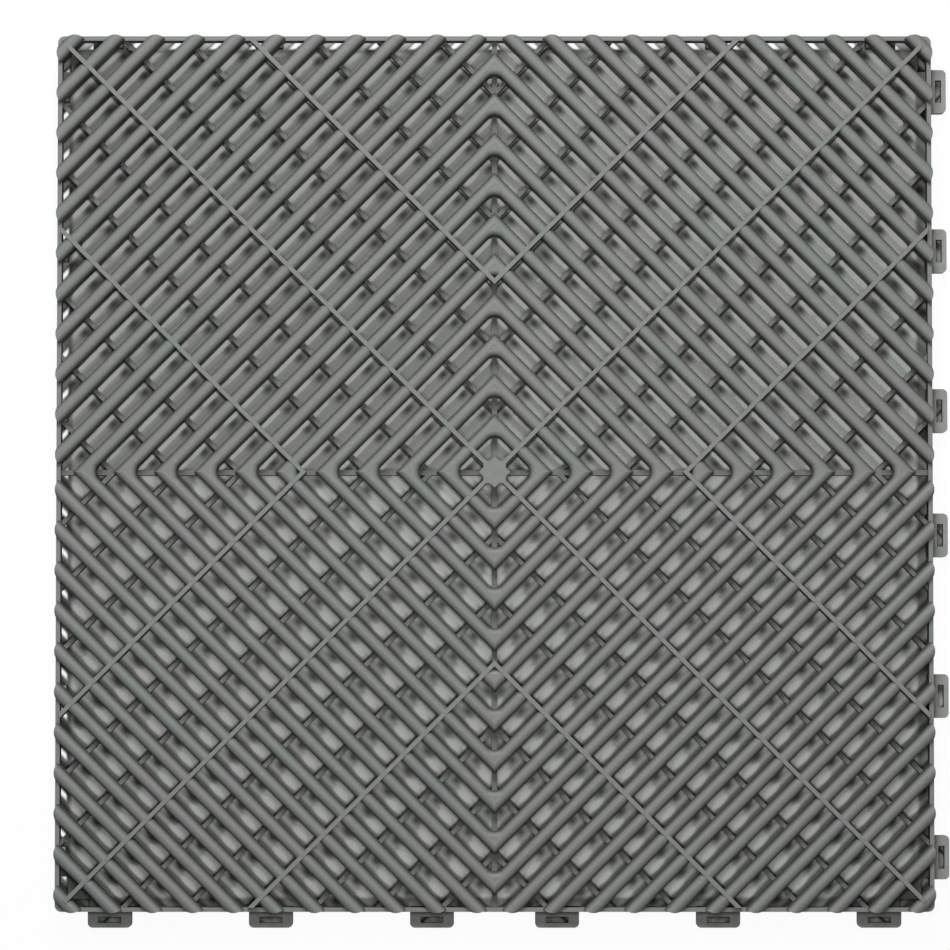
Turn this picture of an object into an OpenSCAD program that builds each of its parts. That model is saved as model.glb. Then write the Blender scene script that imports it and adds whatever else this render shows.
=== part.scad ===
// Vented interlocking floor tile, moulded in one piece.
// Concentric diamonds of round-topped ribs stand on a lower layer of webs and hollow posts.
// Loops on the south and east sides clip onto pegs under the north and west sides of the next tile.
// The origin is at the middle of the tile on the floor, with north along +Y and the deck facing +Z.

/* [Tile] */
// Length of each side over the ends of the ribs
tile = 400; // [360:10:480]
// Height from the floor to the top of the thin ribs
tile_h = 18; // [16:0.5:22]

/* [Round-topped ribs] */
// Distance between neighbouring ribs, square to them
rib_pitch = 13; // [12:0.5:16]
// Distance from the tile's middle to the innermost rib
rib_first = 15.7; // [15:0.1:20]
// Width of a rib
rib_w = 6; // [5.4:0.1:6.2]
// Wall of the hollow rib
rib_wall = 1.2; // [1:0.1:1.6]
// Radius of the rib's round top
crest_r = 3.3; // [3.2:0.1:4]
// How far the rib tops stay below the thin ribs
crest_drop = 0.4; // [0.2:0.1:1]
// Height of the rib's lower edge above the floor
skirt_z = 6.5; // [5.5:0.5:8]
// Plastic over the rib's hollow
crown_t = 1.6; // [1.2:0.1:2.4]
// Shortest rib half that is left at the tile's corners
corner_rib = 6.5; // [5:0.5:9]
// Radius of the inner corners where the ribs of two quarters meet
inner_r = 5; // [3:0.25:6]
// Radius in plan of the rounded end of a rib at the frame
nose_r = 6.9; // [6:0.1:8]
// How far the tip of a rib's end lies beside the line of its crest
nose_shift = 2.1; // [1.5:0.1:2.5]

/* [Webs] */
// Distance between neighbouring webs, which cross the ribs at right angles
web_pitch = 20.5; // [18:0.5:26]
// Which web on each side of the diagonal rises to the top of the tile as the diagonal's own does
tall_web = 3; // [2:1:4]
// Thickness of the low webs
web_t = 2; // [1:0.1:2.4]
// Thickness of the tall webs that show as thin top ribs
tall_t = 1.9; // [1.2:0.1:2.6]
// Thickness of the webs along the two centre lines
spine_t = 2.4; // [1.6:0.1:3.2]
// Height of the webs' lower edge above the floor
web_z = 3; // [2:0.25:4]
// Height of the low webs' upper edge
web_top = 10; // [8.5:0.25:11]

/* [Posts] */
// How far a post stays inside the sides of its rib
post_in = 0.15; // [0.1:0.05:0.4]
// Bore of a post, open at the floor
post_bore = 3.4; // [2.4:0.1:3.8]
// Height of the posts
post_h = 10.2; // [9.75:0.25:12]
// Depth of the post's bore
bore_h = 7.5; // [5:0.5:8]

/* [Centre hub] */
// Width of the star over its points
star_d = 14.4; // [12:0.2:17]
// Thickness of the star plate
star_t = 2.5; // [1.5:0.1:4]
// Diameter of the hub's post and foot
hub_d = 10; // [8:0.2:11]

/* [Edge frame] */
// How far the frame wall stays inside the ends of the ribs
frame_in = 0.4; // [0.2:0.1:0.8]
// Thickness of the frame wall
frame_t = 2; // [1.4:0.1:3]
// Height of the wall's lower edge above the floor
frame_z = 5.5; // [5:0.1:7]
// Height of the wall's upper edge
frame_top = 14; // [12:0.25:15]
// Radius of the frame's corners
corner_r = 3; // [2.5:0.25:6]
// Thickness of the plate in each corner, between the last two ribs
plate_t = 1.6; // [1:0.1:2.4]
// Distance from the tile's corner to the middle of the plate's slot
plate_slot_at = 12; // [10:0.5:14]
// Length of the plate's slot
plate_slot_l = 8; // [6:0.5:9]
// Width of the plate's slot beside the frame wall
plate_slot_w = 3.6; // [2.5:0.1:4]

/* [Loops and pegs] */
// Distance from the side's middle to the first loop
loop_first = 28.5; // [20:0.5:35]
// Distance between neighbouring loops
loop_pitch = 73.4; // [60:0.2:73.4]
// Number of loops on each half of a side
loop_count = 3; // [1:1:3]
// Length of a loop along the side
loop_l = 20; // [16:0.5:24]
// How far a loop stands out past the ends of the ribs
loop_reach = 7.3; // [7:0.1:8.5]
// Height of a loop
loop_h = 5; // [3.5:0.1:5]
// Radius of a loop's outer corners
loop_r = 2.25; // [1:0.25:3]
// Distance from the ends of the ribs to the loop's slot
slot_in = 2.3; // [2:0.1:2.6]
// Width of the slot
slot_w = 2.8; // [2.6:0.1:3.2]
// Length of the slot
slot_l = 10.4; // [9:0.1:12]
// Clearance round a peg in its slot
peg_fit = 0.3; // [0.2:0.05:0.4]
// Clearance between a loop and the tile that it reaches under
loop_fit = 0.5; // [0.3:0.1:1]

/* [Hidden] */
$fn = 48;

half = tile / 2;
wall_root = frame_in + frame_t;
inner = half - wall_root;
diag = half * sqrt(2);
rib_count = floor((diag - corner_rib - rib_first) / rib_pitch) + 1;
crest_z = tile_h - crest_drop;
crest_mid = crest_z - crest_r;
tall_z = web_z + 0.5;
post_r = rib_w / 2 - post_in;
// Step that keeps the rounded inner corners from only touching the ribs' sides and tops
blend = 0.1;
plate_z = frame_z + 0.5;
peg_w = slot_w - 2 * peg_fit;
peg_l = slot_l - 2 * peg_fit;
peg_in = slot_in + peg_fit;
peg_tip = 0.8;
shelf_h = 3.5;
pocket_h = loop_h + loop_fit;
pocket_in = loop_reach + loop_fit;
over = 1;
plastic = [0.52, 0.53, 0.51];

// Distance of rib n from the tile's middle
function rib_at(n) = rib_first + n * rib_pitch;

// Half the length of rib n, a little past the places where it is cut off
function rib_half(n) = min(rib_at(n), diag - rib_at(n)) + rib_w;

// Place of the crossing of rib n and web k, in the quarter's own X and Y
function crossing(n, k) = [rib_at(n) - k * web_pitch, rib_at(n) + k * web_pitch] / sqrt(2);

// Places of the loops along a side
loop_places = [for (s = [-1, 1], i = [0:loop_count - 1]) s * (loop_first + i * loop_pitch)];

// Number of webs on each side of the quarter's diagonal
web_reach = floor(diag / 2 / web_pitch);

// Crossings with room for a whole post beside the centre lines and the frame
post_room = post_r + spine_t / 2;
crossings = [for (n = [0:rib_count - 1], k = [-web_reach:web_reach])
    let (p = crossing(n, k))
    if (min(p) > post_room && max(p) < inner - post_r) p];

// Corners of the diamonds on one centre line, as distances from the middle
corners = [for (n = [0:rib_count - 1]) if (rib_at(n) * sqrt(2) < inner - post_r) rib_at(n) * sqrt(2)];

// Places along one side of the quarter where the ribs' crests reach the outside of the tile
rib_ends = [for (n = [0:rib_count - 1]) if (rib_at(n) * sqrt(2) > half) rib_at(n) * sqrt(2) - half];

// Number of ribs whose inner corners on the centre lines lie inside the frame
inner_corners = ceil((inner / sqrt(2) + rib_w / 2 - rib_first) / rib_pitch);

// Whether web k rises to the top of the tile
function is_tall(k) = k == 0 || abs(k) == tall_web;

// Section of a rib across its length: flat sides, a round top and a hollow open below
module rib_section() {
    difference() {
        translate([-rib_w / 2, skirt_z]) square([rib_w, crest_z + over - skirt_z]);
        difference() {
            translate([-rib_w, crest_mid + 0.2]) square([2 * rib_w, 2 * crest_r]);
            translate([0, crest_mid]) circle(r = crest_r);
        }
        translate([-rib_w / 2 + rib_wall, skirt_z - over])
            square([rib_w - 2 * rib_wall, crest_z - crown_t - skirt_z + over]);
    }
}

// One whole rib, square to the quarter's diagonal
module rib(n) {
    rotate([0, 0, 45]) translate([rib_at(n), rib_half(n), 0]) rotate([90, 0, 0])
        linear_extrude(height = 2 * rib_half(n)) rib_section();
}

// Strip of a web along the quarter's diagonal direction, up to the last rib
module web_strip(k, t) {
    rotate(45) translate([0, k * web_pitch - t / 2]) square([rib_at(rib_count - 1), t]);
}

// The square of the quarter inside the frame wall
module quarter_square(side) {
    square([side, side]);
}

// The frame's outline with its rounded corners
module frame_outline(side, r) {
    difference() {
        square([2 * side, 2 * side], center = true);
        for (a = [0:90:270]) rotate(a) translate([side - r, side - r]) difference() {
            square([r + over, r + over]);
            circle(r = r);
        }
    }
}

// Outline of one quarter's ribs, with a rounded end for each rib that reaches the frame
module ribs_outline() {
    intersection() {
        quarter_square(half);
        frame_outline(half, corner_r + frame_in);
        union() {
            quarter_square(inner + frame_t / 4);
            for (y = rib_ends, a = [0, 1]) mirror([a, -a])
                translate([half - nose_r, y + nose_shift]) circle(r = nose_r);
        }
    }
}

// Ribs of one quarter, mitred at the centre lines and cut out round the frame wall
module quarter_ribs() {
    difference() {
        intersection() {
            for (n = [0:rib_count - 1]) rib(n);
            linear_extrude(height = tile_h) ribs_outline();
        }
        for (a = [0, 1]) mirror([a, -a, 0])
            translate([inner, -over, frame_z - over]) cube([2 * wall_root, tile, frame_top - frame_z + over]);
    }
}

// Section of the filling in a rounded inner corner, as far as the crests of the two ribs
module bend_section() {
    difference() {
        translate([inner_r + blend, skirt_z + blend])
            square([(rib_w / 2 + inner_r) * sqrt(2) - inner_r, crest_z - 2.5 * blend - skirt_z]);
        difference() {
            translate([inner_r, crest_mid + 0.2]) square([rib_w / 2 + blend, 2 * crest_r]);
            translate([inner_r + blend + rib_w / 2, crest_mid - blend]) circle(r = crest_r);
        }
    }
}

// Filling that rounds the inner corner of rib n on the centre line along +X
module inner_corner(n) {
    intersection() {
        translate([(rib_at(n) - rib_w / 2 - inner_r) * sqrt(2), 0, 0])
            rotate_extrude(angle = 45) bend_section();
        rotate([0, 0, 45]) translate([0, -tile, 0]) cube([rib_at(n), tile, tile_h]);
    }
}

// Rounded inner corners of one quarter's ribs
module inner_corners() {
    for (n = [0:inner_corners - 1], a = [0, 1]) mirror([a, -a, 0]) inner_corner(n);
}

// Plate in the tile's corner between the last two ribs, with a slot beside each frame wall
module corner_plate() {
    translate([0, 0, plate_z]) linear_extrude(height = plate_t) difference() {
        intersection() {
            quarter_square(inner);
            rotate(45) translate([rib_at(rib_count - 2) + (rib_w - rib_wall) / 2, -half])
                square([rib_pitch - rib_w + rib_wall, tile]);
        }
        for (a = [0, 1]) mirror([a, -a])
            translate([inner - plate_slot_w, half - plate_slot_at - plate_slot_l / 2])
                square([plate_slot_w + over, plate_slot_l]);
    }
}

// Low webs and the quarter's halves of the two centre-line webs
module low_webs() {
    linear_extrude(height = web_top - web_z) intersection() {
        quarter_square(inner);
        union() {
            for (k = [-web_reach:web_reach]) if (!is_tall(k)) web_strip(k, web_t);
            for (a = [0, 1]) mirror([a, -a]) square([inner, spine_t / 2]);
        }
    }
}

// Tall webs, whose upper edges show as thin ribs at the top of the tile
module tall_webs() {
    linear_extrude(height = tile_h - tall_z) intersection() {
        quarter_square(inner);
        for (k = [-web_reach:web_reach]) if (is_tall(k)) web_strip(k, tall_t);
    }
}

// Places of all the posts of a quarter
module at_posts() {
    for (p = crossings) translate(p) children();
    for (d = corners, a = [0, 1]) mirror([a, -a]) translate([d, 0]) children();
}

// One quarter of the deck, in the north-east
module quarter() {
    difference() {
        union() {
            quarter_ribs();
            inner_corners();
            corner_plate();
            translate([0, 0, web_z]) low_webs();
            translate([0, 0, tall_z]) tall_webs();
            linear_extrude(height = post_h) intersection() {
                quarter_square(inner);
                at_posts() circle(r = post_r);
            }
        }
        translate([0, 0, -over]) linear_extrude(height = bore_h + over) at_posts() circle(d = post_bore);
        hub_space();
    }
}

// Space of the centre hub, kept clear in the quarters
module hub_space() {
    translate([0, 0, -over]) cylinder(h = tile_h + 2 * over, d = hub_d);
    star();
}

// Flat star with eight points
module star() {
    translate([0, 0, tile_h - star_t]) linear_extrude(height = star_t + over)
        for (a = [0, 45]) rotate(a) square(star_d / sqrt(2), center = true);
}

// Star boss, post and foot in the middle of the tile
module centre_hub() {
    color(plastic) intersection() {
        union() {
            cylinder(h = tile_h - star_t / 2, d = hub_d);
            star();
        }
        translate([0, 0, tile_h / 2]) cube([2 * star_d, 2 * star_d, tile_h], center = true);
    }
}

// Wall round the tile
module frame_wall() {
    translate([0, 0, frame_z]) linear_extrude(height = frame_top - frame_z) difference() {
        frame_outline(half - frame_in, corner_r);
        square(2 * inner, center = true);
    }
}

// Outline of one loop beside the frame, along +Y, with its root under the wall
module loop_outline() {
    difference() {
        translate([-wall_root, -loop_l / 2]) square([loop_reach + wall_root, loop_l]);
        for (s = [-1, 1]) scale([1, s]) translate([loop_reach - loop_r, loop_l / 2 - loop_r]) difference() {
            square([loop_r + over, loop_r + over]);
            circle(r = loop_r);
        }
        translate([slot_in, -slot_l / 2]) square([slot_w, slot_l]);
    }
}

// One loop at the east side
module loop() {
    linear_extrude(height = loop_h) loop_outline();
    translate([-wall_root, -loop_l / 2, 0]) cube([frame_t, loop_l, frame_z + over]);
}

// One peg inside the west side: a tongue that hangs from a shelf on the wall
module peg() {
    translate([-peg_in - peg_w, -peg_l / 2, peg_tip]) cube([peg_w, peg_l, pocket_h + shelf_h - peg_tip]);
    translate([-peg_in - peg_w / 2, -peg_l / 2, pocket_h])
        cube([peg_in + peg_w / 2 - frame_in - frame_t / 2, peg_l, shelf_h]);
}

// Space that a peg and the next tile's loop need under the deck
module peg_space() {
    translate([-pocket_in, -loop_l / 2 - loop_fit, -over])
        cube([pocket_in + over, loop_l + 2 * loop_fit, pocket_h + over]);
    translate([-peg_in - peg_w, -peg_l / 2, pocket_h - over])
        cube([peg_in + peg_w, peg_l, shelf_h + over]);
}

// Children repeated along the east and south sides
module at_loops() {
    for (a = [0, -90]) rotate([0, 0, a]) for (y = loop_places) translate([half, y, 0]) children();
}

// Children repeated along the west and north sides
module at_pegs() {
    for (a = [90, 180]) rotate([0, 0, a]) for (y = loop_places) translate([half, y, 0]) children();
}

// Edge frame with its loops and pegs
module edge_frame() {
    color(plastic) union() {
        frame_wall();
        at_loops() loop();
        at_pegs() peg();
    }
}

module grid_north_east() {
    color(plastic) difference() {
        quarter();
        at_pegs() peg_space();
    }
}

module grid_north_west() {
    color(plastic) difference() {
        mirror([1, 0, 0]) quarter();
        at_pegs() peg_space();
    }
}

module grid_south_west() {
    color(plastic) difference() {
        rotate([0, 0, 180]) quarter();
        at_pegs() peg_space();
    }
}

module grid_south_east() {
    color(plastic) mirror([0, 1, 0]) quarter();
}

grid_north_west();
grid_north_east();
grid_south_west();
grid_south_east();
centre_hub();
edge_frame();
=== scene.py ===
"""Looks of a vented garage floor tile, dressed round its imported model.

Lengths are in metres and the frame is the part's own: +Z is up out of the deck, the origin is at the
middle of the tile on the floor, and north (+Y) and west (-X) are the sides with the hidden pegs.
"""

import logging
import math
from dataclasses import dataclass, field
from typing import Any

import bpy
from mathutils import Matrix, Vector

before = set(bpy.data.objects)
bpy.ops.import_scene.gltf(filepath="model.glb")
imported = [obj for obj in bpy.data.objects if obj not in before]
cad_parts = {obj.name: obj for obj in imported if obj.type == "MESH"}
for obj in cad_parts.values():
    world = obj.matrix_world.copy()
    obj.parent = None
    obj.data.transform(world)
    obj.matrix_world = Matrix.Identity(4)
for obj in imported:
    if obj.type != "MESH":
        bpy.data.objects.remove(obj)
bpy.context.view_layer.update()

MM = 0.001
RIB_FIRST = 15.7 * MM
RIB_PITCH = 13 * MM
WEB_PITCH = 20.5 * MM
TALL_WEB = 3
LOOP_FIRST = 28.5 * MM
LOOP_PITCH = 73.4 * MM
log = logging.getLogger("floor_tile")


class Tree:
    """Short forms for adding nodes to a node tree and joining them."""

    def __init__(self, tree: bpy.types.NodeTree) -> None:
        """Keep the tree.

        Args:
            tree: The node tree that the nodes go into.
        """
        self.tree = tree

    def add(self, kind: str, settings: dict[str, Any] | None = None, **inputs: Any) -> bpy.types.Node:
        """Add one node.

        Args:
            kind: Blender's name of the node type.
            settings: Properties to set on the node itself.
            **inputs: Socket values or output sockets, by socket name with spaces as underscores.

        Returns:
            The new node.
        """
        node = self.tree.nodes.new(kind)
        for name, value in (settings or {}).items():
            setattr(node, name, value)
        for name, value in inputs.items():
            self.feed(node.inputs[name.replace("_", " ")], value)
        return node

    def feed(self, socket: bpy.types.NodeSocket, value: Any) -> None:
        """Link an output socket to a socket, or set the socket's own value.

        Args:
            socket: The input socket.
            value: An output socket, or a plain value.
        """
        if isinstance(value, bpy.types.NodeSocket):
            self.tree.links.new(value, socket)
        else:
            socket.default_value = value

    def math(self, operation: str, a: Any, b: Any = 0.0, clamp: bool = False) -> bpy.types.NodeSocket:
        """Add a Math node.

        Args:
            operation: Name of the operation.
            a: First value or socket.
            b: Second value or socket.
            clamp: Whether the result is kept between 0 and 1.

        Returns:
            The result's socket.
        """
        node = self.add("ShaderNodeMath", {"operation": operation, "use_clamp": clamp})
        self.feed(node.inputs[0], a)
        self.feed(node.inputs[1], b)
        return node.outputs[0]

    def mix(self, factor: Any, a: Any, b: Any) -> bpy.types.NodeSocket:
        """Mix two colours.

        Args:
            factor: Share of the second colour.
            a: First colour or socket.
            b: Second colour or socket.

        Returns:
            The mixed colour's socket.
        """
        node = self.add("ShaderNodeMix", {"data_type": "RGBA"})
        self.feed(node.inputs["Factor"], factor)
        colours = [socket for socket in node.inputs if socket.type == "RGBA"]
        self.feed(colours[0], a)
        self.feed(colours[1], b)
        return next(socket for socket in node.outputs if socket.type == "RGBA")

    def ramp(self, value: Any, low: Any, high: Any) -> bpy.types.NodeSocket:
        """Rescale a value so that low gives 0 and high gives 1, held between them.

        Args:
            value: The value's socket.
            low: Value that gives 0.
            high: Value that gives 1.

        Returns:
            The result's socket.
        """
        node = self.add("ShaderNodeMapRange", {"clamp": True, "interpolation_type": "SMOOTHSTEP"})
        self.feed(node.inputs["Value"], value)
        self.feed(node.inputs["From Min"], low)
        self.feed(node.inputs["From Max"], high)
        return node.outputs["Result"]

    def noise(self, vector: Any, scale: Any, detail: float = 3.0, roughness: float = 0.5) -> bpy.types.Node:
        """Add a noise texture.

        Args:
            vector: Socket of the coordinates.
            scale: Noise scale for metres.
            detail: Number of octaves.
            roughness: Weight of the finer octaves.

        Returns:
            The noise node.
        """
        return self.add("ShaderNodeTexNoise", Vector=vector, Scale=scale, Detail=detail, Roughness=roughness)


def new_group(name: str, inputs: dict[str, float], outputs: dict[str, str]) -> tuple[Tree, Any, Any]:
    """Start a shader node group.

    Args:
        name: Name of the group.
        inputs: Name and default value of each input.
        outputs: Name and socket type of each output.

    Returns:
        The group's tree, its input node and its output node.
    """
    group = bpy.data.node_groups.new(name, "ShaderNodeTree")
    for label, value in inputs.items():
        socket = group.interface.new_socket(name=label, in_out="INPUT", socket_type="NodeSocketFloat")
        socket.default_value = value
    for label, kind in outputs.items():
        group.interface.new_socket(name=label, in_out="OUTPUT", socket_type=kind)
    tree = Tree(group)
    return tree, tree.add("NodeGroupInput"), tree.add("NodeGroupOutput")


def mottle_group() -> bpy.types.NodeTree:
    """Build the colour drift of moulded plastic: soft flow marks and larger warm and cool patches.

    Returns:
        A group that gives a patch mask and a flow mask between 0 and 1.
    """
    tree, given, result = new_group(
        "plastic_mottle",
        {"Patch Scale": 18.0, "Flow Scale": 60.0},
        {"Patch": "NodeSocketFloat", "Flow": "NodeSocketFloat"},
    )
    place = tree.add("ShaderNodeTexCoord").outputs["Object"]
    patch = tree.noise(place, given.outputs["Patch Scale"], 2.0, 0.45)
    flow = tree.noise(place, given.outputs["Flow Scale"], 4.0, 0.6)
    tree.feed(result.inputs["Patch"], tree.ramp(patch.outputs["Fac"], 0.35, 0.65))
    tree.feed(result.inputs["Flow"], tree.ramp(flow.outputs["Fac"], 0.3, 0.7))
    return tree.tree


def grain_group() -> bpy.types.NodeTree:
    """Build the fine grain of a spark-eroded mould, as a height.

    Returns:
        A group that gives a height and a roughness drift.
    """
    tree, given, result = new_group(
        "moulded_grain",
        {"Grain Scale": 2600.0, "Wave Scale": 90.0},
        {"Height": "NodeSocketFloat", "Drift": "NodeSocketFloat"},
    )
    place = tree.add("ShaderNodeTexCoord").outputs["Object"]
    fine = tree.noise(place, given.outputs["Grain Scale"], 2.0, 0.7)
    wave = tree.noise(place, given.outputs["Wave Scale"], 3.0, 0.5)
    height = tree.math("ADD", fine.outputs["Fac"], tree.math("MULTIPLY", wave.outputs["Fac"], 1.5))
    tree.feed(result.inputs["Height"], height)
    tree.feed(result.inputs["Drift"], wave.outputs["Fac"])
    return tree.tree


def tread_and_shade_group() -> bpy.types.NodeTree:
    """Build the scuffs on the treads, a mask of painted shade for steep faces, and a mask of what lies lower,
    which the deck darkens for dirt and painted shade and the frame lightens for painted light.

    Returns:
        A group that gives a scuff mask, a painted shade mask and a mask of what lies lower.
    """
    tree, given, result = new_group(
        "tread_marks_and_shade",
        {"Tread Height": 0.017, "Dust Height": 0.012},
        {"Scuff": "NodeSocketFloat", "Side": "NodeSocketFloat", "Dust And Painted Tone": "NodeSocketFloat"},
    )
    place = tree.add("ShaderNodeTexCoord").outputs["Object"]
    height = tree.add("ShaderNodeSeparateXYZ", Vector=place).outputs["Z"]
    facing = tree.add("ShaderNodeSeparateXYZ", Vector=tree.add("ShaderNodeNewGeometry").outputs["Normal"])
    up = tree.ramp(facing.outputs["Z"], 0.6, 0.95)
    upright = tree.math("ABSOLUTE", facing.outputs["Z"])
    # Painted shade: the steeper a face, the darker it is painted.
    tree.feed(result.inputs["Side"], tree.ramp(upright, 0.98, 0.45))
    near_top = tree.ramp(height, tree.math("SUBTRACT", given.outputs["Tread Height"], 1.2 * MM),
                         given.outputs["Tread Height"])
    streaks = tree.ramp(tree.noise(place, 420.0, 5.0, 0.7).outputs["Fac"], 0.52, 0.72)
    tree.feed(result.inputs["Scuff"], tree.math("MULTIPLY", streaks, tree.math("MULTIPLY", near_top, up)))
    # What lies lower, in specks: the deck paints it darker for dirt and painted shade, the frame lighter for
    # painted light.
    low = tree.ramp(height, given.outputs["Dust Height"],
                    tree.math("SUBTRACT", given.outputs["Dust Height"], 3 * MM))
    specks = tree.ramp(tree.noise(place, 300.0, 4.0, 0.6).outputs["Fac"], 0.1, 0.6)
    tree.feed(result.inputs["Dust And Painted Tone"], tree.math("MULTIPLY", specks, low))
    return tree.tree


@dataclass(frozen=True)
class MouldedPlastic:
    """Satin moulded polypropylene in a grey that leans a little to green, with painted shade on its steep faces.
    """

    name: str
    colour: tuple[float, float, float] = (0.202, 0.213, 0.198)
    cool: tuple[float, float, float] = (0.18, 0.214, 0.198)
    warm: tuple[float, float, float] = (0.218, 0.202, 0.206)
    scuffed: tuple[float, float, float] = (0.34, 0.34, 0.32)
    # Colour of what lies lower: dirt and painted shade on the deck.
    dust_and_tone_colour: tuple[float, float, float] = (0.115, 0.118, 0.109)
    # Painted shade on steep faces.
    side_shade_colour: tuple[float, float, float] = (0.056, 0.059, 0.055)
    roughness: float = 0.5
    specular: float = 0.35
    grain: float = 0.00004
    scuff: float = 0.25
    side_shade: float = 0.85
    dust_and_tone_share: float = 0.85

    def material(self) -> bpy.types.Material:
        """Make the material.

        Returns:
            The material with its nodes.
        """
        made = bpy.data.materials.new(self.name)
        made.use_nodes = True
        made.node_tree.nodes.clear()
        tree = Tree(made.node_tree)
        groups = {}
        for name, build in (("plastic_mottle", mottle_group), ("moulded_grain", grain_group),
                            ("tread_marks_and_shade", tread_and_shade_group)):
            group = bpy.data.node_groups.get(name) or build()
            groups[name] = tree.add("ShaderNodeGroup", {"node_tree": group})
        mottle = groups["plastic_mottle"].outputs
        grain = groups["moulded_grain"].outputs
        marks = groups["tread_marks_and_shade"].outputs
        tint = tree.mix(mottle["Patch"], (*self.cool, 1.0), (*self.warm, 1.0))
        base = tree.mix(tree.math("MULTIPLY", mottle["Flow"], 0.8), (*self.colour, 1.0), tint)
        # Low parts take that colour: dirt and painted shade on the deck, painted light on the frame.
        base = tree.mix(tree.math("MULTIPLY", marks["Dust And Painted Tone"], self.dust_and_tone_share), base, (*self.dust_and_tone_colour, 1.0))
        base = tree.mix(tree.math("MULTIPLY", marks["Scuff"], self.scuff), base, (*self.scuffed, 1.0))
        # Painted shade: steep faces take the dark colour.
        base = tree.mix(tree.math("MULTIPLY", marks["Side"], self.side_shade), base, (*self.side_shade_colour, 1.0))
        rough = tree.math("ADD", tree.math("MULTIPLY", grain["Drift"], 0.16), self.roughness - 0.08)
        rough = tree.math("ADD", rough, tree.math("MULTIPLY", marks["Dust And Painted Tone"], 0.3), clamp=True)
        bump = tree.add("ShaderNodeBump", Height=grain["Height"], Strength=0.5, Distance=self.grain)
        shader = tree.add("ShaderNodeBsdfPrincipled", Base_Color=base, Roughness=rough,
                          Normal=bump.outputs["Normal"])
        shader.inputs["IOR"].default_value = 1.49
        shader.inputs["Specular IOR Level"].default_value = self.specular
        output = tree.add("ShaderNodeOutputMaterial")
        tree.feed(output.inputs["Surface"], shader.outputs[0])
        return made


@dataclass
class Deck:
    """The ribbed deck: four quarters of ribs and the star hub in the middle."""

    nodes: tuple[str, ...] = (
        "grid_north_west", "grid_north_east", "grid_south_west", "grid_south_east", "centre_hub")
    finish: MouldedPlastic = field(default_factory=lambda: MouldedPlastic("deck_plastic"))

    def build(self) -> None:
        """Give every piece of the deck its finish."""
        material = self.finish.material()
        for name in self.nodes:
            dress(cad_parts[name], material)
            log.info("dressed %s", name)


@dataclass
class EdgeFrame:
    """The wall round the tile with its loops and pegs."""

    node: str = "edge_frame"
    # The frame's low colour is lighter: painted light on its low loops.
    finish: MouldedPlastic = field(
        default_factory=lambda: MouldedPlastic("frame_plastic", dust_and_tone_colour=(0.36, 0.365, 0.345), scuff=0.2, dust_and_tone_share=0.6))

    def build(self) -> None:
        """Give the frame its finish."""
        dress(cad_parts[self.node], self.finish.material())
        log.info("dressed %s", self.node)


def dress(piece: bpy.types.Object, material: bpy.types.Material) -> None:
    """Put one material on a piece.

    Args:
        piece: The object to dress.
        material: The material for all its faces.
    """
    piece.data.materials.clear()
    piece.data.materials.append(material)


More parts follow.
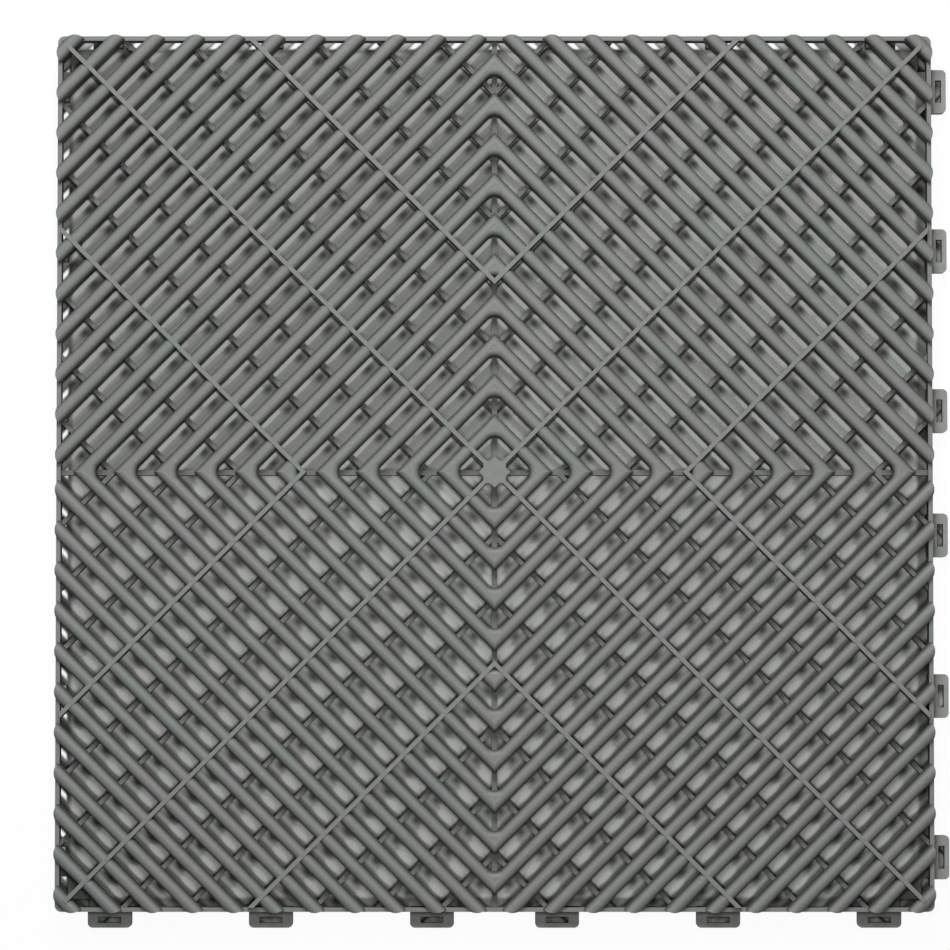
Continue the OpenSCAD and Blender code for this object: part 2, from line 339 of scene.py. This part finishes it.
@dataclass(frozen=True)
class WindowLight:
    """Painted light and shade in the floor's colour under the openings between ribs and webs.

    The places follow the deck: v runs from the middle of the tile across the ribs, and south is counted
    along the ribs from the nearest web to the north.
    """

    # Painted light: bright strips in the northern half, bright pools in the southern half, both shifted by
    # north_shift, and soft light beside each rib.
    strip_at: float = 8.5 * MM
    strip_half: float = 1.6 * MM
    strip_gain: float = 1.15
    pool_at: tuple[float, float] = (8.8 * MM, 12.9 * MM)
    pool_half: tuple[float, float] = (2.8 * MM, 5.8 * MM)
    pool_gain: float = 1.7
    north_shift: float = 1.1 * MM
    inner_at: float = 4.7 * MM
    inner_half: float = 1.9 * MM
    inner_gain: tuple[float, float] = (0.55, 0.2)
    # Painted shade beside the next rib.
    edge_at: float = 11.0 * MM
    edge_half: float = 2.2 * MM
    edge_depth: float = 0.7
    # Painted shadows of the webs: dark blotches south of them, and dark lines beside them.
    blotch_at: tuple[float, float] = (5.0 * MM, 7.0 * MM)
    blotch_half: tuple[float, float] = (4.7 * MM, 6.2 * MM)
    blotch_v: float = 6.0 * MM
    blotch_width: float = 3.0 * MM
    blotch_depth: float = 0.8
    line_depth: float = 0.88
    line_at: float = 1.6 * MM
    line_half: float = 1.4 * MM
    # More painted light further out from the middle, and the cap on all the painted light.
    outer: tuple[float, float] = (60 * MM, 190 * MM)
    outer_gain: float = 0.25
    brightest: float = 1.95

    def add(self, tree: Tree, place: bpy.types.NodeSocket) -> bpy.types.NodeSocket:
        """Add the painted light and shade to a material.

        Args:
            tree: The material's tree.
            place: Socket of the object coordinates.

        Returns:
            A factor of painted light and shade for the floor's colour, around 1.
        """
        axes = tree.add("ShaderNodeSeparateXYZ", Vector=place).outputs
        east = tree.math("ABSOLUTE", axes["X"])
        north = tree.math("ABSOLUTE", axes["Y"])
        half_sign = tree.math("SIGN", axes["Y"])
        north_half = tree.math("GREATER_THAN", axes["Y"], 0.0)
        across = tree.math("MULTIPLY", tree.math("ADD", east, north), math.sqrt(0.5))
        along = tree.math("MULTIPLY", tree.math("SUBTRACT", north, east), math.sqrt(0.5))
        along = tree.math("MULTIPLY", along, half_sign)
        across = tree.math("SUBTRACT", across, RIB_FIRST)
        plain = tree.math("FLOORED_MODULO", across, RIB_PITCH)
        shifted = tree.math("SUBTRACT", across, tree.math("MULTIPLY", half_sign, self.north_shift))
        phase = tree.math("FLOORED_MODULO", shifted, RIB_PITCH)
        south = tree.math("FLOORED_MODULO", tree.math("MULTIPLY", along, -1.0), WEB_PITCH)
        web = tree.math("ABSOLUTE", tree.math("CEIL", tree.math("DIVIDE", along, WEB_PITCH)))
        tall = tree.math("ADD", tree.math("LESS_THAN", web, 0.5),
                         tree.math("COMPARE", web, float(TALL_WEB)), clamp=True)
        # Painted light: bright strips in the northern half with a painted sheen drifting along them, and bright
        # pools in the southern half.
        strip = self.bell(tree, phase, self.strip_at, self.strip_half)
        sheen = tree.ramp(tree.noise(place, 70.0, 3.0, 0.6).outputs["Fac"], 0.3, 0.7)
        strip = tree.math("MULTIPLY", strip, tree.math("MULTIPLY", sheen, 2 * self.strip_gain))
        pool = tree.math("MULTIPLY", self.bell(tree, phase, self.pool_at[0], self.pool_half[0]),
                         self.bell(tree, south, self.pool_at[1], self.pool_half[1]))
        pool = tree.math("MULTIPLY", pool, self.pool_gain)
        strip = tree.math("ADD", tree.math("MULTIPLY", strip, north_half),
                          tree.math("MULTIPLY", pool, tree.math("SUBTRACT", 1.0, north_half)))
        # Painted shadow of each web: a dark blotch south of it, further off and longer beside a tall web.
        middle = tree.math("ADD", tree.math("MULTIPLY", tall, self.blotch_at[1] - self.blotch_at[0]),
                           self.blotch_at[0])
        reach = tree.math("ADD", tree.math("MULTIPLY", tall, self.blotch_half[1] - self.blotch_half[0]),
                          self.blotch_half[0])
        blotch = tree.math("MULTIPLY", self.bell(tree, south, middle, reach),
                           self.bell(tree, phase, self.blotch_v, self.blotch_width))
        # Painted shade line beside each web: on its south side in the northern half, on its north side in the
        # southern half.
        beside = tree.math("SUBTRACT", WEB_PITCH - self.line_at,
                           tree.math("MULTIPLY", north_half, WEB_PITCH - 2 * self.line_at))
        line = tree.math("MULTIPLY", self.bell(tree, south, beside, self.line_half), self.line_depth)
        # Painted soft light beside each rib, weaker in the northern half and stronger in the southern half.
        gain = tree.math("SUBTRACT", self.inner_gain[0], tree.math("MULTIPLY", half_sign, self.inner_gain[1]))
        inner = tree.math("MULTIPLY", self.bell(tree, plain, self.inner_at, self.inner_half), gain)
        # Painted shade beside the next rib, and more painted light further out.
        edge = tree.math("MULTIPLY", self.bell(tree, phase, self.edge_at, self.edge_half), self.edge_depth)
        far = tree.math("MULTIPLY", tree.ramp(across, *self.outer), self.outer_gain)
        light = tree.math("ADD", tree.math("ADD", strip, inner), tree.math("ADD", far, 1.0))
        for shade in (tree.math("MULTIPLY", blotch, self.blotch_depth), line, edge):
            light = tree.math("MULTIPLY", light, tree.math("SUBTRACT", 1.0, shade))
        return tree.math("MINIMUM", light, self.brightest)

    @staticmethod
    def bell(tree: Tree, value: Any, middle: Any, reach: Any) -> bpy.types.NodeSocket:
        """Add a soft hump that is 1 at the middle and 0 past the reach on both sides.

        Args:
            tree: The material's tree.
            value: The value's socket.
            middle: Place of the top.
            reach: Half the width.

        Returns:
            The hump's socket.
        """
        return tree.ramp(tree.math("ABSOLUTE", tree.math("SUBTRACT", value, middle)), reach, 0.0)


@dataclass
class Floor:
    """Plain white floor that the tile lies on, with painted shade and light in its colour where the tile covers
    it.
    """

    side: float = 30.0
    colour: tuple[float, float, float] = (0.95, 0.95, 0.95)
    # Darker colour under the tile, which paints its shade; tinted patches drift in it at random.
    covered: tuple[float, float, float] = (0.585, 0.625, 0.57)
    tinted: tuple[float, float, float] = (0.61, 0.605, 0.59)
    # Cap of the painted light, and strength of the painted glow where it nears that cap.
    full: float = 1.5
    painted_glow: float = 0.17
    # Painted shade in a band inside the wall (rim), and where the covered floor fades into the open one.
    rim: tuple[float, float] = (192.5 * MM, 195 * MM)
    rim_depth: float = 0.68
    fade: tuple[float, float] = (198.2 * MM, 200.2 * MM)
    # Painted glints inside the north and west walls.
    glint_reach: tuple[float, float] = (195 * MM, 196.5 * MM)
    glint_at: float = 6.4 * MM
    glint_half: float = 1.7 * MM
    # Floor under the loops' slots, which takes the covered colour as painted shade.
    slot_reach: tuple[float, float] = (200.6 * MM, 206.4 * MM)
    slot_half: float = 6.2 * MM
    glow: float = 0.95
    windows: WindowLight = field(default_factory=WindowLight)

    def build(self) -> None:
        """Make the floor."""
        half = self.side / 2
        mesh = bpy.data.meshes.new("floor")
        mesh.from_pydata([(-half, -half, 0), (half, -half, 0), (half, half, 0), (-half, half, 0)], [],
                         [(0, 1, 2, 3)])
        floor = bpy.data.objects.new("floor", mesh)
        bpy.context.scene.collection.objects.link(floor)
        floor.data.materials.append(self.material())
        log.info("laid the floor")

    def under_slots(self, tree: Tree, outward: Any, sideways: Any) -> bpy.types.NodeSocket:
        """Mark the floor under the slots of the loops, where the covered colour paints shade.

        Args:
            tree: The material's tree.
            outward: Distance from the middle towards the loop side.
            sideways: Distance from the middle along the loop side.

        Returns:
            A mask that is 1 under the slots.
        """
        turn = tree.math("FLOORED_MODULO", tree.math("ADD", sideways, LOOP_PITCH / 2 - LOOP_FIRST), LOOP_PITCH)
        off = tree.math("ABSOLUTE", tree.math("SUBTRACT", turn, LOOP_PITCH / 2))
        mask = tree.math("MULTIPLY", tree.math("GREATER_THAN", outward, self.slot_reach[0]),
                         tree.math("LESS_THAN", outward, self.slot_reach[1]))
        return tree.math("MULTIPLY", mask, tree.math("LESS_THAN", off, self.slot_half))

    def material(self) -> bpy.types.Material:
        """Make the floor's white, with a darker, speckled field of painted shade and light where the tile covers
        it.

        Returns:
            The floor's material.
        """
        made = bpy.data.materials.new("white_floor")
        made.use_nodes = True
        made.node_tree.nodes.clear()
        tree = Tree(made.node_tree)
        place = tree.add("ShaderNodeTexCoord").outputs["Object"]
        axes = tree.add("ShaderNodeSeparateXYZ", Vector=place).outputs
        east = tree.math("ABSOLUTE", axes["X"])
        north = tree.math("ABSOLUTE", axes["Y"])
        reach = tree.math("MAXIMUM", east, north)
        slot = self.under_slots(tree, tree.math("MAXIMUM", axes["X"], tree.math("MULTIPLY", axes["Y"], -1.0)),
                                tree.math("MINIMUM", east, north))
        across = tree.math("MULTIPLY", tree.math("ADD", east, north), math.sqrt(0.5))
        phase = tree.math("FLOORED_MODULO", tree.math("SUBTRACT", across, RIB_FIRST), RIB_PITCH)
        # Painted glints: white spots between the ribs inside the north and west walls, where the covered field
        # gives way.
        glint = tree.math("MULTIPLY", self.windows.bell(tree, phase, self.glint_at, self.glint_half),
                          tree.ramp(reach, *self.glint_reach))
        north_west = tree.math("GREATER_THAN", axes["Y"], axes["X"])
        glint = tree.math("MULTIPLY", glint, north_west)
        # The covered field: a darker floor colour under the tile that paints its shade, fading out at the wall.
        field = tree.math("MULTIPLY", tree.ramp(reach, self.fade[1], self.fade[0]),
                          tree.math("SUBTRACT", 1.0, glint))
        # Under the loops' slots the floor joins the covered field, as painted shade.
        field = tree.math("MAXIMUM", field, slot)
        patch = tree.ramp(tree.noise(place, 25.0, 2.0).outputs["Fac"], 0.35, 0.65)
        dark = tree.mix(patch, (*self.covered, 1.0), (*self.tinted, 1.0))
        speck = tree.math("MULTIPLY", tree.noise(place, 1400.0, 3.0, 0.8).outputs["Fac"], 0.7)
        light = tree.math("MULTIPLY", self.windows.add(tree, place), tree.math("ADD", speck, 0.65))
        # Painted shade in a band inside the wall.
        rim = tree.math("MULTIPLY", tree.ramp(reach, *self.rim), self.rim_depth)
        light = tree.math("MULTIPLY", light, tree.math("SUBTRACT", 1.0, rim))
        shade = tree.add("ShaderNodeVectorMath", {"operation": "SCALE"})
        tree.feed(shade.inputs[0], dark)
        tree.feed(shade.inputs["Scale"], tree.math("MINIMUM", light, self.full))
        # Painted glow: where the painted light nears its cap, the camera sees some white.
        painted_glow = tree.math("MAXIMUM", tree.math("SUBTRACT", light, self.full - 0.1), 0.0)
        painted_glow = tree.math("MULTIPLY", tree.math("MULTIPLY", painted_glow, field), self.painted_glow)
        base = tree.mix(field, (*self.colour, 1.0), shade.outputs[0])
        matt = tree.add("ShaderNodeBsdfPrincipled", Base_Color=base, Roughness=0.8)
        matt.inputs["Specular IOR Level"].default_value = 0.1
        white = tree.add("ShaderNodeEmission", Color=(1.0, 1.0, 1.0, 1.0), Strength=1.0)
        path = tree.add("ShaderNodeLightPath").outputs
        seen = tree.math("ADD", path["Is Camera Ray"], path["Is Glossy Ray"])
        seen = tree.math("ADD", seen, path["Is Transmission Ray"], clamp=True)
        # The open floor shows even white to the camera; the painted glow adds to that under the tile.
        glow = tree.math("MULTIPLY", tree.math("SUBTRACT", 1.0, field), self.glow)
        glow = tree.math("ADD", glow, painted_glow)
        blend = tree.add("ShaderNodeMixShader", Fac=tree.math("MULTIPLY", seen, glow))
        tree.feed(blend.inputs[1], matt.outputs[0])
        tree.feed(blend.inputs[2], white.outputs[0])
        below = tree.math("MAXIMUM", tree.add("ShaderNodeNewGeometry").outputs["Backfacing"],
                          path["Is Shadow Ray"])
        from_below = tree.add("ShaderNodeMixShader", Fac=below)
        tree.feed(from_below.inputs[1], blend.outputs[0])
        tree.feed(from_below.inputs[2], tree.add("ShaderNodeBsdfTransparent").outputs[0])
        output = tree.add("ShaderNodeOutputMaterial")
        tree.feed(output.inputs["Surface"], from_below.outputs[0])
        return made


@dataclass(frozen=True)
class SoftBox:
    """A round lamp that points at the middle of the tile."""

    name: str
    place: tuple[float, float, float]
    size: float
    power: float

    def build(self) -> None:
        """Make the lamp and place it."""
        lamp = bpy.data.lights.new(self.name, "AREA")
        lamp.shape = "DISK"
        lamp.size = self.size
        lamp.energy = self.power
        box = bpy.data.objects.new(self.name, lamp)
        box.location = self.place
        box.rotation_euler = Vector(self.place).to_track_quat("Z", "Y").to_euler()
        bpy.context.scene.collection.objects.link(box)


@dataclass
class Studio:
    """A wide soft box to the north and a smaller one overhead, under an even white surround."""

    surround: float = 0.105
    lamps: tuple[SoftBox, ...] = (
        SoftBox("north_box", (-0.1, 1.0, 1.2), 0.8, 21.0),
        SoftBox("top_box", (0.0, -0.05, 1.0), 0.25, 2.9),
    )

    def build(self) -> None:
        """Make the surround and the lamps."""
        world = bpy.data.worlds.new("surround")
        bpy.context.scene.world = world
        world.use_nodes = True
        tree = Tree(world.node_tree)
        world.node_tree.nodes.clear()
        light = tree.add("ShaderNodeBackground", Color=(1.0, 1.0, 1.0, 1.0), Strength=self.surround)
        white = tree.add("ShaderNodeBackground", Color=(1.0, 1.0, 1.0, 1.0), Strength=1.0)
        seen = tree.add("ShaderNodeLightPath").outputs["Is Camera Ray"]
        blend = tree.add("ShaderNodeMixShader", Fac=seen)
        tree.feed(blend.inputs[1], light.outputs[0])
        tree.feed(blend.inputs[2], white.outputs[0])
        output = tree.add("ShaderNodeOutputWorld")
        tree.feed(output.inputs["Surface"], blend.outputs[0])
        for lamp in self.lamps:
            lamp.build()
        log.info("set up the light")


@dataclass
class PhotoCamera:
    """A long lens that looks down on the tile from a little south of it."""

    image_px: int = 950
    px_per_mm: float = 2.2
    middle_px: tuple[float, float] = (494.6, 471.8)
    lean: float = 2.5
    distance: float = 2.0
    sensor_mm: float = 36.0
    deck_height: float = 18 * MM

    def build(self) -> None:
        """Make the camera and use it."""
        lens = bpy.data.cameras.new("photo_camera")
        lens.sensor_width = self.sensor_mm
        lens.clip_end = 100.0
        width = self.image_px / self.px_per_mm * MM
        lens.lens = self.sensor_mm * self.distance / width
        camera = bpy.data.objects.new("photo_camera", lens)
        lean = math.radians(self.lean)
        off_x = (self.middle_px[0] - self.image_px / 2) / self.px_per_mm * MM
        off_y = (self.middle_px[1] - self.image_px / 2) / self.px_per_mm * MM
        aim = Vector((-off_x, off_y, self.deck_height))
        camera.location = aim + self.distance * Vector((0.0, -math.sin(lean), math.cos(lean)))
        camera.rotation_euler = (lean, 0.0, 0.0)
        bpy.context.scene.collection.objects.link(camera)
        bpy.context.scene.camera = camera
        log.info("placed the camera")


def main() -> None:
    """Build the scene piece by piece."""
    logging.basicConfig(level=logging.INFO)
    bpy.context.scene.view_settings.view_transform = "Standard"
    PhotoCamera().build()
    Floor().build()
    Studio().build()
    Deck().build()
    EdgeFrame().build()


if __name__ == "__main__":
    main()
